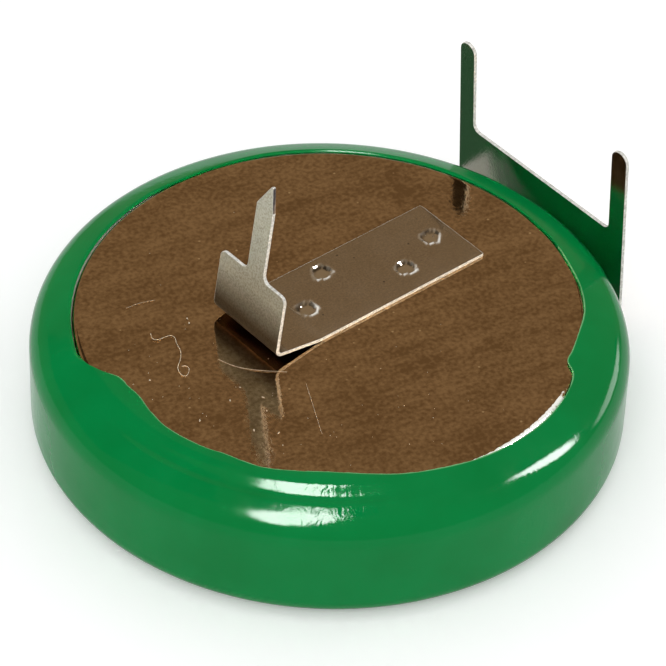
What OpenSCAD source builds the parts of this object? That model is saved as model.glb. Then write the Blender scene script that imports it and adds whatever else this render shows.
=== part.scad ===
// Sealed lithium coin cell, 24.5 mm across, in a shrunk green sleeve, with welded solder tabs.
// Origin: on the cell's axis, at the outer face of the can's floor. +Z points to the negative cap.
// +X runs along the tabs, from the negative pin to the plate with the two positive pins.

/* [Cell] */
// Diameter of the can
cell_d = 24.5; // [22:0.1:30]
// Height of the closed cell, from the can's floor to the cap's face
cell_h = 5.0; // [4.6:0.1:7.7]

/* [Positive can] */
// Sheet thickness of the can
can_t = 0.3; // [0.2:0.05:0.35]
// Outside radius between the can's floor and side
can_corner_r = 0.7; // [0.4:0.05:1]
// Outside radius of the rim rolled in over the seal
rim_r = 1.15; // [0.85:0.05:1.2]
// How far the rolled rim reaches in from the can's side
rim_w = 1.35; // [1.25:0.05:1.6]
// How far the rolled rim stays below the cap's face
rim_drop = 0.35; // [0.1:0.05:0.4]

/* [Negative cap] */
// Sheet thickness of the cap
cap_t = 0.25; // [0.15:0.05:0.3]
// Outside radius around the cap's face
cap_edge_r = 0.35; // [0.2:0.05:0.5]
// Radius in the corner between the cap's neck and its step
cap_neck_r = 0.15; // [0.05:0.05:0.2]

/* [Seal] */
// Wall thickness of the moulded seal between can and cap
seal_t = 0.25; // [0.2:0.05:0.35]
// How far the seal's floor reaches in past the cap's skirt
seal_lip_w = 0.3; // [0.1:0.05:0.6]

/* [Inside the cell] */
// Thickness of the current collector under the cathode
collector_t = 0.1; // [0.05:0.05:0.2]
// How far the collector stays inside the cathode's edge
collector_inset = 0.8; // [0.2:0.1:3]
// Room between the cathode and the seal's lip
cathode_gap = 0.5; // [0.2:0.1:2]
// Thickness of the lithium disc under the cap; the cathode fills what is left below it
anode_t = 1.4; // [1.1:0.1:2.2]
// Thickness of the separator
separator_t = 0.15; // [0.05:0.05:0.3]
// Room between the separator and the cap's skirt
separator_gap = 0.4; // [0.1:0.1:1]
// Room between the lithium disc and the cap's neck
anode_gap = 0.3; // [0.1:0.1:2]

/* [Sleeve] */
// Thickness of the shrunk film on the side and top
film_t = 0.15; // [0.08:0.01:0.25]
// Thickness of the gathered film under the cell
film_floor_t = 0.3; // [0.15:0.05:0.5]
// Width of the film under the cell, in from the can's side
film_floor_w = 2.6; // [1.5:0.1:4]
// Radius of the dip in the film between rim and cap
film_dip_r = 0.35; // [0.3:0.05:0.5]
// Radius of the bead of film over the cap's edge
film_bead_r = 0.15; // [0.1:0.05:0.3]
// Mean diameter of the cut opening over the cap
opening_d = 20.9; // [20:0.1:21.1]
// How far the film hangs in over the cap, between the two angles below
flap_w = 0.85; // [0:0.05:1.2]
// Angle where that hanging stretch starts
flap_from = 164; // [120:1:180]
// Angle where it ends
flap_to = 250; // [200:1:280]
// Depth of the single tongue left by the cut
tongue_w = 0.5; // [0:0.05:0.8]
// Angle of that tongue
tongue_at = 306; // [285:1:330]

/* [Tabs] */
// Sheet thickness of both solder tabs
tab_t = 0.15; // [0.1:0.01:0.25]
// Length of the pins' tapered ends
tip_len = 1.1; // [0.4:0.1:1.5]

/* [Negative tab] */
// Width of the strip welded to the cap
neg_w = 4.05; // [3:0.05:6]
// Distance of the strip's middle line from the cell's axis
neg_y = 0.82; // [-2:0.02:2]
// Distance from the cell's axis to the fold
neg_fold_x = 3.93; // [2:0.01:6]
// Distance from the cell's axis to the strip's free end
neg_end_x = 7.3; // [5:0.1:8.5]
// Where the strip starts to lift off the cap, from the cell's axis
neg_lift_x = 1.55; // [1.5:0.05:2.5]
// Height of the fold over the cap
neg_lift = 0.4; // [0.1:0.05:0.8]
// Outside radius of the fold
neg_fold_r = 0.35; // [0.3:0.05:0.6]
// Lean of the standing plate over its strip, in degrees
neg_lean = 8; // [0:1:15]
// Height of the plate's shoulders over the fold
neg_plate_h = 2.87; // [2:0.01:5]
// Height of the pin's tip over the fold
neg_pin_h = 7.23; // [6.5:0.01:9]
// Width of the negative pin
neg_pin_w = 1.0; // [0.6:0.05:1.5]
// How far the pin sits off the plate's middle
neg_pin_off = 0.12; // [-0.5:0.02:0.5]
// How far the pin's point lies off the pin's own middle
neg_tip_off = 0.25; // [-0.4:0.05:0.4]

/* [Positive tab] */
// Width of the stem welded to the can's floor
pos_stem_w = 5.0; // [3:0.1:7]
// Distance of the tab's middle line from the cell's axis
pos_y = 1.05; // [-2:0.05:2]
// Distance from the cell's axis to the stem's free end
pos_end_x = 2.0; // [1:0.1:6]
// Room between the sleeve's side and the foot of the standing plate
pos_gap = 0.4; // [0.35:0.05:1]
// Inside radius of the bend beside the sleeve
pos_bend_r = 0.3; // [0.1:0.05:0.6]
// Lean of the standing plate towards the cell, in degrees
pos_lean = 3.2; // [0:0.1:3.5]
// Width of the standing plate
pos_plate_w = 10.4; // [8:0.1:12]
// Height where the stem widens to the plate, over the bend
pos_foot_h = 0.9; // [0.8:0.1:2]
// Height of the plate's top edge over the bend
pos_plate_h = 5.45; // [3:0.05:7]
// Height of the pins' tips over the bend
pos_pin_h = 9.95; // [8:0.05:11]
// Width of each positive pin
pos_pin_w = 0.9; // [0.6:0.05:1.5]

/* [Welds] */
// Diameter of a spot weld's dent
weld_d = 0.85; // [0.5:0.05:1.2]
// Depth of a spot weld's dent
weld_depth = 0.07; // [0.03:0.01:0.08]

/* [Hidden] */
$fn = 96;

arc_steps = 8;      // straight pieces in each rounded corner of a section
cut_steps = 120;    // straight pieces around the sleeve's cut opening
cut_room = 1;       // how far a cutting body reaches past what it cuts
corner_r = 0.3;     // rounded outer corners of the tabs' plates
root_r = 0.35;      // rounded roots of the pins
lift_r = 3;         // gentle curve where the negative strip starts to lift
joggle_r = 0.2;     // bends of the step in the positive stem
joggle_w = 0.5;     // length of that step
joggle_room = 0.1;  // from that step to the film's inner edge, at the stem's own edge
flap_start_soft = 2;    // degrees over which the film's hanging stretch sets in
flap_end_soft = 7;      // degrees over which it dies out
tongue_soft = 7;        // half width of the tongue in degrees
fillet_share = 0.95;    // most of the rim's flat that the film's dip may take
neg_welds = [[-0.8, 0.6], [1.15, 2.0], [4.1, 0.1], [6.25, 1.0]];
pos_weld_pitch = 2.4;   // distance between the two dents of a pair
pos_weld_rows = [1.4, 4.8]; // distances of the pairs from the stem's free end

can_r = cell_d / 2;
rim_z = cell_h - rim_drop;
mouth_r = can_r - rim_w;
cap_r = mouth_r - seal_t;
step_z = rim_z - can_t - seal_t;
skirt_r = can_r - can_t - seal_t;
foot_z = can_t + seal_t;
lip_r = skirt_r - cap_t - seal_lip_w;
cathode_r = lip_r - cathode_gap;
cathode_z = can_t + collector_t;
anode_top_z = cell_h - cap_t;
anode_z = anode_top_z - anode_t;
separator_z = anode_z - separator_t;
separator_r = skirt_r - cap_t - separator_gap;
anode_r = cap_r - cap_t - anode_gap;
sleeve_r = can_r + film_t;
film_floor_r = can_r - film_floor_w;
film_slope = atan2(rim_drop, seal_t);
dip_r = min(film_dip_r, fillet_share * (rim_w - rim_r) / tan(film_slope / 2));
film_in_r = opening_d / 2 - flap_w - tongue_w - cut_room;
pos_bend_x = sleeve_r + pos_gap;
stem_reach = abs(pos_y) + pos_stem_w / 2;
joggle_x = sqrt(film_floor_r * film_floor_r - stem_reach * stem_reach) - joggle_room;

function unit(v) = v / norm(v);
function left(v) = [-v.y, v.x];
function cross2(a, b) = a.x * b.y - a.y * b.x;
function xy(p) = [p.x, p.y];

// Points that round the corner b, between a and c, to the radius r
function rounded(a, b, c, r) =
    let (u = unit(a - b), v = unit(c - b), turn = cross2(-u, v))
    r <= 0 || abs(turn) < 1e-6 ? [b] :
    let (half = acos(u * v) / 2,
        centre = b + unit(u + v) * r / sin(half),
        start = b + u * r / tan(half) - centre,
        first = atan2(start.y, start.x),
        sweep = (turn > 0 ? 1 : -1) * (180 - 2 * half))
    [for (i = [0:arc_steps])
        centre + r * [cos(first + sweep * i / arc_steps), sin(first + sweep * i / arc_steps)]];

// Closed outline through the corners [x, y, radius]
function outline(c) = [for (i = [0:len(c) - 1])
    each rounded(xy(c[(i + len(c) - 1) % len(c)]), xy(c[i]), xy(c[(i + 1) % len(c)]), c[i][2])];

// Open line through the corners [x, y, radius]; its two ends stay where they are
function line(c) = [xy(c[0]),
    for (i = [1:len(c) - 2]) each rounded(xy(c[i - 1]), xy(c[i]), xy(c[i + 1]), c[i][2]),
    xy(c[len(c) - 1])];

// The same corners moved sideways by t, to the left of the way they run, with radii that keep t even
function beside(c, t) = [for (i = [0:len(c) - 1])
    let (before = i > 0 ? unit(xy(c[i]) - xy(c[i - 1])) : unit(xy(c[1]) - xy(c[0])),
        after = i < len(c) - 1 ? unit(xy(c[i + 1]) - xy(c[i])) : before,
        middle = unit(left(before) + left(after)),
        at = xy(c[i]) + middle * t / (middle * left(before)))
    [at.x, at.y, c[i][2] <= 0 ? 0 : c[i][2] - sign(cross2(before, after)) * t]];

// The same points the other way round
function reversed(p) = [for (i = [len(p) - 1:-1:0]) p[i]];

// Section of a sheet whose one face follows the corners, with its thickness t to the left of them
function sheet(c, t) = concat(line(c), reversed(line(beside(c, t))));

// A step from 0 to 1 at the angle at, spread over about soft degrees
function soft_step(a, at, soft) = 1 / (1 + exp((at - a) / soft));

// Radius of the sleeve's cut opening at the angle a
function opening_r(a) = opening_d / 2
    - flap_w * soft_step(a, flap_from, flap_start_soft) * soft_step(-a, -flap_to, flap_end_soft)
    - tongue_w * exp(-pow((a - tongue_at) / tongue_soft, 2));

module disc(r, z0, z1) {
    translate([0, 0, z0]) cylinder(r = r, h = z1 - z0);
}

// A bent blank, wide on each side of the line y, trimmed to the outline that it shows along X.
// The section is in X and Z, and the corners of the outline are in Y and Z from the point [y, z].
module trimmed_tab(section, wide, corners, y, z) {
    reach = cell_d + cut_room;
    intersection() {
        translate([0, y, 0]) rotate([90, 0, 0]) linear_extrude(wide, center = true) polygon(section);
        translate([-reach, y, z]) rotate([90, 0, 90]) linear_extrude(2 * reach)
            polygon(outline(corners));
    }
}

// Dents of spot welds in the face z of a strip, pressed in from the side that dir points to
module weld_dents(places, z, dir) {
    dent_r = (weld_d * weld_d / 4 + weld_depth * weld_depth) / (2 * weld_depth);
    for (p = places) translate([p.x, p.y, z + dir * (dent_r - weld_depth)]) sphere(r = dent_r);
}

can_face = [[0, 0, 0], [can_r, 0, can_corner_r], [can_r, rim_z, rim_r], [mouth_r, rim_z, 0]];
cap_face = [[0, cell_h, 0], [cap_r, cell_h, cap_edge_r], [cap_r, step_z, cap_neck_r],
    [skirt_r, step_z, rim_r - can_t - seal_t], [skirt_r, foot_z, 0]];

// Deep-drawn steel cup: floor, side and the rim rolled in over the seal
module positive_can() {
    color([0.62, 0.6, 0.56]) rotate_extrude() polygon(sheet(can_face, can_t));
}

// Pressed steel cap: raised face, neck, step and skirt
module negative_cap() {
    color([0.42, 0.31, 0.2]) rotate_extrude() polygon(sheet(cap_face, -cap_t));
}

// Moulded ring that fills the room between can and cap
module seal() {
    inner = can_r - can_t;
    color([0.85, 0.85, 0.8]) rotate_extrude() polygon(outline([
        [lip_r, can_t, 0], [inner, can_t, can_corner_r - can_t],
        [inner, rim_z - can_t, rim_r - can_t], [mouth_r, rim_z - can_t, 0], [mouth_r, rim_z, 0],
        [cap_r, rim_z, 0], [cap_r, step_z, cap_neck_r],
        [skirt_r, step_z, rim_r - can_t - seal_t], [skirt_r, foot_z, 0], [lip_r, foot_z, 0]]));
}

module cathode_collector() {
    color([0.7, 0.7, 0.7]) disc(cathode_r - collector_inset, can_t, cathode_z);
}

module cathode_pellet() {
    color([0.13, 0.13, 0.14]) disc(cathode_r, cathode_z, separator_z);
}

module separator() {
    color([0.93, 0.93, 0.9]) disc(separator_r, separator_z, anode_z);
}

module lithium_anode() {
    color([0.75, 0.76, 0.78]) disc(anode_r, anode_z, anode_top_z);
}

// Shrunk film: side wall, gathered floor lap, dip over the rim, bead over the cap's edge, cut opening
module sleeve() {
    inside = [[film_floor_r, 0, 0], [can_r, 0, can_corner_r], [can_r, rim_z, rim_r],
        [mouth_r, rim_z, dip_r], [cap_r, cell_h, film_bead_r], [film_in_r, cell_h, 0]];
    floor_corner = [[film_floor_r, 0, 0], [can_r, 0, can_corner_r], [can_r, can_corner_r, 0],
        [sleeve_r, can_corner_r, 0], [sleeve_r, -film_floor_t, can_corner_r + film_t],
        [film_floor_r, -film_floor_t, 0]];
    color([0.0, 0.45, 0.22]) difference() {
        rotate_extrude() union() {
            polygon(sheet(inside, -film_t));
            polygon(outline(floor_corner));
        }
        translate([0, 0, rim_z]) linear_extrude(cell_h)
            polygon([for (i = [0:cut_steps - 1]) let (a = i * 360 / cut_steps)
                opening_r(a) * [cos(a), sin(a)]]);
    }
}

// Folded tab on the cap: welded strip, standing plate with two shoulders, pointed pin
module negative_tab() {
    fold_z = cell_h + neg_lift;
    top = neg_pin_h + cut_room;
    side = [[neg_end_x, cell_h, 0], [-neg_lift_x, cell_h, lift_r], [-neg_fold_x, fold_z, neg_fold_r],
        [-neg_fold_x + top * tan(neg_lean), fold_z + top, 0]];
    half = neg_w / 2;
    low = -neg_lift - cut_room;
    pin_l = neg_pin_w / 2 - neg_pin_off;
    pin_r = neg_pin_w / 2 + neg_pin_off;
    taper_z = neg_pin_h - tip_len;
    corners = [[-half, low, 0], [half, low, 0], [half, neg_plate_h, corner_r],
        [pin_l, neg_plate_h, root_r], [pin_l, taper_z, 0], [-neg_pin_off - neg_tip_off, neg_pin_h, 0],
        [-pin_r, taper_z, 0], [-pin_r, neg_plate_h, root_r], [-half, neg_plate_h, corner_r]];
    color([0.6, 0.57, 0.5]) difference() {
        trimmed_tab(sheet(side, -tab_t), neg_w + 2 * cut_room, corners, neg_y, fold_z);
        weld_dents(neg_welds, cell_h + tab_t, 1);
    }
}

// Tab under the can: welded stem with a step over the film's lap, bend, wide plate with two pins
module positive_tab() {
    top = pos_pin_h + cut_room;
    side = [[pos_end_x, 0, 0], [joggle_x - joggle_w, 0, joggle_r], [joggle_x, -film_floor_t, joggle_r],
        [pos_bend_x, -film_floor_t, pos_bend_r],
        [pos_bend_x - top * tan(pos_lean), top - film_floor_t, 0]];
    half = pos_plate_w / 2;
    inner = half - pos_pin_w;
    stem = pos_stem_w / 2;
    low = -tab_t - cut_room;
    one_side = [[stem, low, 0], [stem, pos_foot_h, root_r], [half, pos_foot_h, corner_r],
        [half, pos_pin_h, pos_pin_w / 2], [inner, pos_pin_h, pos_pin_w / 2],
        [inner, pos_plate_h, root_r]];
    corners = concat(one_side, [for (p = reversed(one_side)) [-p.x, p.y, p[2]]]);
    welds = [for (row = pos_weld_rows, s = [-0.5, 0.5])
        [pos_end_x + row, pos_y + s * pos_weld_pitch]];
    color([0.6, 0.57, 0.5]) difference() {
        trimmed_tab(sheet(side, -tab_t), pos_plate_w + 2 * cut_room, corners, pos_y, -film_floor_t);
        weld_dents(welds, -tab_t, -1);
    }
}

positive_can();
negative_cap();
seal();
cathode_collector();
cathode_pellet();
separator();
lithium_anode();
sleeve();
negative_tab();
positive_tab();
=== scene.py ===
import bmesh
import bpy
import math
import random
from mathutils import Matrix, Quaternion, Vector


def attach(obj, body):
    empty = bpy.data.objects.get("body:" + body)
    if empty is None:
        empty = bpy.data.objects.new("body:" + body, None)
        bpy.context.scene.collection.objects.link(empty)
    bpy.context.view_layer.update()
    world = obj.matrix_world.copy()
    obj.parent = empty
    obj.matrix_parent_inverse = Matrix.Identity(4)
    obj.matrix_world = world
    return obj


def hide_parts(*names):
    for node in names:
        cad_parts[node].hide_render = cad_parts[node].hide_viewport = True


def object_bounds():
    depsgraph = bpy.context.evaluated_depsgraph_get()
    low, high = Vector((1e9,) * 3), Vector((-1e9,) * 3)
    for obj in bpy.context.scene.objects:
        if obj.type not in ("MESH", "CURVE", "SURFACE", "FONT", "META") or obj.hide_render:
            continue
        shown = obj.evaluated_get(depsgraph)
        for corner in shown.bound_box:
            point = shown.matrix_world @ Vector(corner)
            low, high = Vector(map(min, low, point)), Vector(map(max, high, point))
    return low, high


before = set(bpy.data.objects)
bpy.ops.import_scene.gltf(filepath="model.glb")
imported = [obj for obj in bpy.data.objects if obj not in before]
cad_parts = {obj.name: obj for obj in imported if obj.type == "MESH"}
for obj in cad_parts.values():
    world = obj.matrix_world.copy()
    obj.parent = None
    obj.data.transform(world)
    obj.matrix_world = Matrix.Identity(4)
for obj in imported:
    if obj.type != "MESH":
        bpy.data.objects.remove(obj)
cad_box = [list(corner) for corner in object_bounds()]
mm = 0.001


# The camera stands high in front of the folded tab and looks down over the cell
# with a long lens, as the photograph does, turned a little about its line of sight.
CAMERA_AT = Vector((-75.73, -86.71, 104.26)) * mm
CAMERA_AIM = Vector((1.08, 1.06, 2.5)) * mm
CAMERA_ROLL = math.radians(2.2)
CAMERA_LENS = 200.2
CAMERA_SENSOR = 36
CAMERA_NEAR = 5 * mm
camera_data = bpy.data.cameras.new("camera")
camera_data.lens = CAMERA_LENS
camera_data.sensor_width = CAMERA_SENSOR
camera_data.clip_start = CAMERA_NEAR
camera = bpy.data.objects.new("camera", camera_data)
bpy.context.scene.collection.objects.link(camera)
camera.location = CAMERA_AT
look = (CAMERA_AIM - CAMERA_AT).to_track_quat("-Z", "Y") @ Quaternion((0, 0, 1), CAMERA_ROLL)
camera.rotation_euler = look.to_euler()
bpy.context.scene.camera = camera
bpy.context.scene.view_settings.view_transform = "Standard"


# The stage: a pale floor under an even white sky, with one soft lamp. A brown ceiling and five cards
# are seen only in reflections: the ceiling and four cards as the room round the cell was, and a dark
# green card as a painted reflection of the green sleeve in the positive tab.
FLOOR_Z = cad_box[0][2]
FLOOR_SIZE = 6
FLOOR_GREY = (0.93, 0.93, 0.93)
FLOOR_ROUGH = 0.9
FLOOR_LIFT = 0.16
SKY_STRENGTH = 0.86
WHITE = (1, 1, 1)
CEILING_R = 2.5
CEILING_BROWN = (0.37, 0.265, 0.16)
PANEL_FAR = 0.5
# A panel's glow is full as far as PANEL_FULL from its middle and gone at PANEL_RIM, in
# shares of its size.
PANEL_RIM, PANEL_FULL = 0.5, 0.34
SHADE_BROWN = (0.09, 0.067, 0.038)
# The dark green card is a painted reflection: it shows in the positive tab as the green sleeve would.
DARK_CARD_AT = (7.5 * mm, 13.5 * mm, FLOOR_Z + 0.1 * mm)
DARK_CARD_SIZE = (9 * mm, 10 * mm, 1)
SLEEVE_REFLECTION_GREEN = (0.05, 0.14, 0.07)
LAMP_AT = Vector((-0.35, -0.30, 0.45))
LAMP_SIZE = 0.3
LAMP_POWER = 0.9


def shader(name):
    made = bpy.data.materials.new(name)
    made.use_nodes = True
    return made, made.node_tree.nodes, made.node_tree.links


def feed(links, socket, value):
    """Gives a socket another node's output, a colour (red, green, blue) or a number."""
    if isinstance(value, bpy.types.NodeSocket):
        links.new(value, socket)
    elif isinstance(value, tuple):
        socket.default_value = (*value, 1)
    else:
        socket.default_value = value


def reckoned(nodes, links, operation, *given):
    """The result of a Math node on the given sockets and numbers."""
    made = nodes.new("ShaderNodeMath")
    made.operation = operation
    for socket, value in zip(made.inputs, given):
        feed(links, socket, value)
    return made.outputs[0]


def spread(nodes, links, value, low, high, from_low=0.3, from_high=0.7):
    """The value's middle range stretched between low and high."""
    made = nodes.new("ShaderNodeMapRange")
    made.inputs["From Min"].default_value = from_low
    made.inputs["From Max"].default_value = from_high
    made.inputs["To Min"].default_value = low
    made.inputs["To Max"].default_value = high
    links.new(value, made.inputs["Value"])
    return made.outputs[0]


world = bpy.data.worlds.new("sky")
world.use_nodes = True
n, l = world.node_tree.nodes, world.node_tree.links
feed(l, n["Background"].inputs["Color"], WHITE)
seen = n.new("ShaderNodeLightPath").outputs["Is Camera Ray"]
l.new(spread(n, l, seen, SKY_STRENGTH, 1, 0, 1), n["Background"].inputs["Strength"])
bpy.context.scene.world = world

bpy.ops.object.select_all(action="DESELECT")
bpy.ops.mesh.primitive_plane_add(size=FLOOR_SIZE, location=(0, 0, FLOOR_Z))
floor = bpy.context.object
floor.name = "floor"
floor_paint, n, l = shader("floor_paint")
face = n["Principled BSDF"]
feed(l, face.inputs["Base Color"], FLOOR_GREY)
feed(l, face.inputs["Emission Color"], WHITE)
face.inputs["Roughness"].default_value = FLOOR_ROUGH
face.inputs["Specular IOR Level"].default_value = 0
seen = n.new("ShaderNodeLightPath").outputs["Is Camera Ray"]
l.new(reckoned(n, l, "MULTIPLY", seen, FLOOR_LIFT), face.inputs["Emission Strength"])
floor.data.materials.append(floor_paint)


def glow(name, colour, strength, soft_edge=False):
    """A light of its own. With soft_edge it fades out towards a unit square's rim."""
    made, nodes, links = shader(name)
    nodes.remove(nodes["Principled BSDF"])
    light = nodes.new("ShaderNodeEmission")
    feed(links, light.inputs["Color"], colour)
    light.inputs["Strength"].default_value = strength
    links.new(light.outputs[0], nodes["Material Output"].inputs["Surface"])
    if soft_edge:
        away = nodes.new("ShaderNodeVectorMath")
        away.operation = "LENGTH"
        links.new(nodes.new("ShaderNodeTexCoord").outputs["Object"], away.inputs[0])
        fade = nodes.new("ShaderNodeMapRange")
        fade.interpolation_type = "SMOOTHSTEP"
        fade.inputs["From Min"].default_value = PANEL_RIM
        fade.inputs["From Max"].default_value = PANEL_FULL
        fade.inputs["To Max"].default_value = strength
        links.new(away.outputs["Value"], fade.inputs["Value"])
        links.new(fade.outputs[0], light.inputs["Strength"])
    return made


def seen_in_gloss_only(thing):
    thing.visible_camera = False
    thing.visible_diffuse = False
    thing.visible_shadow = False
    thing.visible_transmission = False
    thing.visible_volume_scatter = False


def panel(name, azimuth, elevation, wide, high, strength, colour=WHITE, soft_edge=True):
    """A glowing card that faces the cell from a direction in degrees, its sides in metres."""
    a, e = math.radians(azimuth), math.radians(elevation)
    out = Vector((math.cos(a) * math.cos(e), math.sin(a) * math.cos(e), math.sin(e)))
    bpy.ops.mesh.primitive_plane_add(size=1, location=out * PANEL_FAR)
    card = bpy.context.object
    card.name = name
    card.scale = (wide, high, 1)
    card.rotation_euler = (-out).to_track_quat("-Z", "Y").to_euler()
    card.data.materials.append(glow(name + "_glow", colour, strength, soft_edge))
    seen_in_gloss_only(card)


bpy.ops.mesh.primitive_uv_sphere_add(segments=64, ring_count=32, radius=CEILING_R, location=(0, 0, 0))
ceiling = bpy.context.object
ceiling.name = "ceiling"
ceiling.data.materials.append(glow("ceiling_glow", CEILING_BROWN, 1))
seen_in_gloss_only(ceiling)
panel("panel_front", 212, 63, 0.19, 0.50, 75)
panel("panel_right", 327, 40, 0.14, 0.30, 75)
panel("panel_shade", 117, 50, 0.45, 0.42, 1, SHADE_BROWN, False)
panel("panel_side", 350, 12, 0.30, 0.14, 8)

bpy.ops.mesh.primitive_plane_add(size=1, location=DARK_CARD_AT)
sleeve_reflection_card = bpy.context.object
sleeve_reflection_card.name = "sleeve_reflection_card"
sleeve_reflection_card.scale = DARK_CARD_SIZE
sleeve_reflection_card.data.materials.append(glow("dark_card_glow", SLEEVE_REFLECTION_GREEN, 1))
seen_in_gloss_only(sleeve_reflection_card)

lamp_data = bpy.data.lights.new("lamp", "AREA")
lamp_data.size = LAMP_SIZE
lamp_data.energy = LAMP_POWER
lamp = bpy.data.objects.new("lamp", lamp_data)
bpy.context.scene.collection.objects.link(lamp)
lamp.location = LAMP_AT
lamp.rotation_euler = (-LAMP_AT).to_track_quat("-Z", "Y").to_euler()
lamp.visible_glossy = False


# What the sealed cell holds keeps its plain solids: the drawn steel can, the moulded seal,
# the collector, the pressed cathode, the felt separator and the lithium disc.
# Each finish: its name, dark and light colour, roughness, metallic, grains per metre and
# how high the grain stands
INSIDE_FINISHES = {
    "positive_can": ("drawn_steel", (0.40, 0.37, 0.32), (0.50, 0.47, 0.42), 0.3, 1, 4000, 0.004 * mm),
    "seal": ("moulded_seal", (0.74, 0.74, 0.68), (0.84, 0.84, 0.79), 0.45, 0, 2500, 0.01 * mm),
    "cathode_collector": (
        "collector_steel", (0.5, 0.5, 0.49), (0.62, 0.62, 0.6), 0.35, 1, 5000, 0.004 * mm),
    "cathode_pellet": (
        "pressed_powder", (0.02, 0.02, 0.022), (0.05, 0.05, 0.052), 0.85, 0, 6000, 0.03 * mm),
    "separator": ("felt", (0.78, 0.78, 0.74), (0.9, 0.9, 0.87), 0.95, 0, 5000, 0.03 * mm),
    "lithium_anode": ("soft_lithium", (0.55, 0.56, 0.58), (0.7, 0.71, 0.73), 0.5, 1, 1500, 0.01 * mm),
}
GLOSS_VARIES = 0.08


def noise(nodes, links, place, per_m, detail, rough=0.5):
    """Cloudy noise. per_m, its blobs per metre, is a number or a socket."""
    made = nodes.new("ShaderNodeTexNoise")
    made.inputs["Detail"].default_value = detail
    made.inputs["Roughness"].default_value = rough
    feed(links, made.inputs["Scale"], per_m)
    links.new(place, made.inputs["Vector"])
    return made.outputs["Fac"]


def ramp(nodes, links, value, low, high, dark, light):
    """A colour from dark to light as the value goes from low to high."""
    made = nodes.new("ShaderNodeValToRGB")
    made.color_ramp.elements[0].position = low
    made.color_ramp.elements[0].color = (*dark, 1)
    made.color_ramp.elements[1].position = high
    made.color_ramp.elements[1].color = (*light, 1)
    links.new(value, made.inputs["Fac"])
    return made.outputs["Color"]


def raised(nodes, links, value, deep, normal=None):
    """A bump whose height is the value times deep."""
    made = nodes.new("ShaderNodeBump")
    made.inputs["Distance"].default_value = deep
    links.new(value, made.inputs["Height"])
    if normal:
        links.new(normal, made.inputs["Normal"])
    return made.outputs["Normal"]


def plain_finish(name, dark, light, rough, metallic, grains_per_m, deep):
    """A simple stuff with grain in its colour, gloss and surface."""
    made, nodes, links = shader(name)
    face = nodes["Principled BSDF"]
    place = nodes.new("ShaderNodeTexCoord").outputs["Object"]
    grain = noise(nodes, links, place, grains_per_m, 6)
    gloss = spread(nodes, links, grain, rough - GLOSS_VARIES, rough + GLOSS_VARIES)
    links.new(ramp(nodes, links, grain, 0.3, 0.7, dark, light), face.inputs["Base Color"])
    links.new(gloss, face.inputs["Roughness"])
    links.new(raised(nodes, links, grain, deep), face.inputs["Normal"])
    face.inputs["Metallic"].default_value = metallic
    return made


for node_name, finish in INSIDE_FINISHES.items():
    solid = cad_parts[node_name]
    solid.data.materials.clear()
    solid.data.materials.append(plain_finish(*finish))


# The negative cap: a shallow cup pressed from nickel-plated strip, its flat face dulled by
# handling and dust. It is spun here from its profile: face, rounded edge, step and skirt.
CAP_H = 5.0 * mm
CAP_R = 10.65 * mm
CAP_T = 0.25 * mm
CAP_EDGE_R = 0.35 * mm
CAP_STEP_Z = 4.1 * mm
CAP_SKIRT_R = 11.7 * mm
CAP_FOOT_Z = 0.55 * mm
CAP_STEP_R = 0.12 * mm
CAP_SKIRT_ROUND = 0.4 * mm
# Radii of the rings in the flat face, in millimetres
CAP_RINGS = (0.4, 4, 8, 10, 10.22)
CAP_STEPS = 240
CAP_ROLLED_AT = math.radians(14)
CAP_DARK, CAP_LIGHT = (0.28, 0.19, 0.107), (0.485, 0.36, 0.231)
CAP_DUST = (0.72, 0.6, 0.44)
CAP_EDGE_HIGHLIGHT = (0.93, 0.92, 0.86)
# The rounded edge that the film leaves bare at the front carries a painted highlight, near-white and
# not metallic, fading out at both ends; these angles are in degrees.
HIGHLIGHT_FROM, HIGHLIGHT_TO = 246, 297
HIGHLIGHT_FADE_IN, HIGHLIGHT_FADE_OUT = 12, 5
HIGHLIGHT_R = 10.39 * mm
HIGHLIGHT_DOWN = 0.6 * mm
HIGHLIGHT_CHIPS = 120
# Dark mottles lie in a row along the rolling streaks and in a patch at the rear.
MOTTLE_ROW = 4.5 * mm
MOTTLE_ROW_HALF = 0.75 * mm
MOTTLE_PATCH = (7.6 * mm, 4.2 * mm, CAP_H)
MOTTLE_PATCH_R = 2.2 * mm
MOTTLES_PER_M = 1500


def rolled_metal_group():
    """Faint rolling streaks, soft blotches, fine grain and settled dust on sheet metal."""
    group = bpy.data.node_groups.new("rolled_metal", "ShaderNodeTree")
    sockets = group.interface
    sockets.new_socket("Vector", in_out="INPUT", socket_type="NodeSocketVector")
    for label in ("Streaks per m", "Grain per m", "Specks per m"):
        sockets.new_socket(label, in_out="INPUT", socket_type="NodeSocketFloat")
    for label in ("Streak", "Blotch", "Grain", "Speck"):
        sockets.new_socket(label, in_out="OUTPUT", socket_type="NodeSocketFloat")
    nodes, links = group.nodes, group.links
    given = nodes.new("NodeGroupInput").outputs
    out = nodes.new("NodeGroupOutput").inputs

    drawn = nodes.new("ShaderNodeMapping")
    drawn.inputs["Scale"].default_value = (0.12, 1, 1)
    links.new(given["Vector"], drawn.inputs["Vector"])
    links.new(noise(nodes, links, drawn.outputs[0], given["Streaks per m"], 5), out["Streak"])
    links.new(noise(nodes, links, given["Vector"], 420, 8, 0.72), out["Blotch"])
    links.new(noise(nodes, links, given["Vector"], given["Grain per m"], 3), out["Grain"])

    cells = nodes.new("ShaderNodeTexVoronoi")
    links.new(given["Vector"], cells.inputs["Vector"])
    links.new(given["Specks per m"], cells.inputs["Scale"])
    near = spread(nodes, links, cells.outputs["Distance"], 0, 1, 0.11, 0.06)
    split = nodes.new("ShaderNodeSeparateColor")
    links.new(cells.outputs["Color"], split.inputs["Color"])
    few = reckoned(nodes, links, "GREATER_THAN", split.outputs["Red"], 0.72)
    links.new(reckoned(nodes, links, "MULTIPLY", near, few), out["Speck"])
    return group


ROLLED_METAL = rolled_metal_group()


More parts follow.
